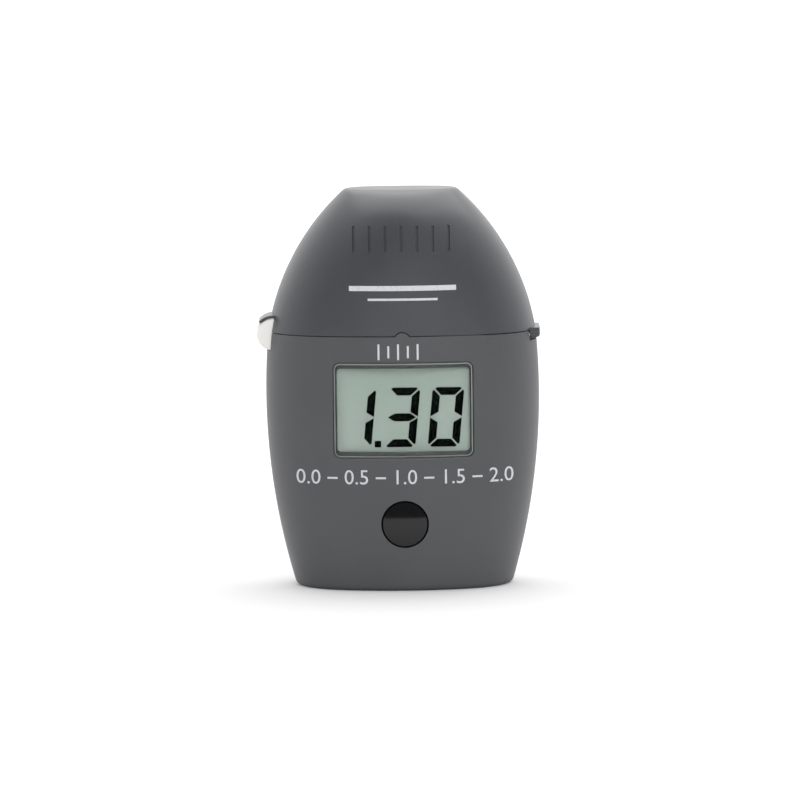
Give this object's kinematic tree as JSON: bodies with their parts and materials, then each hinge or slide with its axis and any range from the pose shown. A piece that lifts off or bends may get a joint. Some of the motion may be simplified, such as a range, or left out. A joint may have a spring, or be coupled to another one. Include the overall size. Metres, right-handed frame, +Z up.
{
  "type": "portable colorimeter",
  "caption": "Handheld water-test colorimeter: oval shell, hinged lid over a round cuvette well, curved display window and a push button.",
  "frame": {"origin": "centre of the flat base", "axes": "+Z up out of the base, +X to the right as seen from the front, so the display and the button face -Y and the hinge is on the -X side"},
  "size_m": [0.0612, 0.0376, 0.086],
  "materials": {
    "shell_grey": "satin, dark grey",
    "cover_grey": "satin, dark grey",
    "window_clear": "clear, polished",
    "tape_black": "matt black",
    "lcd_glass": "smooth, pale green grey",
    "lcd_segment": "smooth, near black",
    "frame_white": "satin white",
    "contact_rubber": "matt, striped",
    "board_green": "solder-masked board",
    "chip_black": "matt black",
    "screw_steel": "zinc plated",
    "switch_black": "matt black",
    "button_black": "glossy, near black",
    "holder_black": "matt black",
    "filter_green": "coloured glass",
    "lamp_clear": "clear epoxy",
    "cell_dark": "dark blue grey",
    "wire_red": "insulation",
    "wire_blue": "insulation",
    "battery_sleeve": "satin sleeve",
    "tube_grey": "satin",
    "contact_nickel": "nickel plated",
    "hinge_white": "satin white",
    "pin_steel": "polished",
    "seal_rubber": "matt black",
    "lid_grey": "satin, dark grey"
  },
  "bodies": {
    "case": {"battery": "battery_sleeve", "battery_cover": "cover_grey", "battery_cover_screw": "screw_steel", "battery_spring": "contact_nickel", "battery_tube": "tube_grey", "board_chips": "chip_black", "board_screws": "screw_steel", "case_screws": "screw_steel", "contact_strips": "contact_rubber", "cuvette_holder": "holder_black", "display_window": "window_clear", "front_case": "shell_grey", "hinge_bracket": "hinge_white", "hinge_pin": "pin_steel", "holder_screws": "screw_steel", "lamp": "lamp_clear", "lamp_holder": "holder_black", "lamp_wires": "wire_red", "lcd_digits": "lcd_segment", "lcd_frame": "frame_white", "lcd_panel": "lcd_glass", "light_filter": "filter_green", "main_board": "board_green", "photocell": "cell_dark", "photocell_board": "board_green", "photocell_wires": "wire_blue", "positive_contact": "contact_nickel", "positive_strip": "contact_nickel", "rear_case": "shell_grey", "switch_body": "switch_black", "window_tape": "tape_black"},
    "lid": {"lid_shell": "lid_grey", "lid_seal": "seal_rubber"},
    "button": {"button": "button_black", "switch_plunger": "switch_black"}
  },
  "joints": [
    {"name": "lid_hinge", "type": "hinge", "parent": "case", "child": "lid", "pos_m": [-0.0279, 0, 0.05483], "axis": [0, -1, 0], "range_deg": [0, 105]},
    {"name": "button_press", "type": "slide", "parent": "case", "child": "button", "axis": [0, 1, 0], "range_m": [0, 0.0005], "stiffness_N_per_m": 1500, "springref_m": -0.0003}
  ]
}
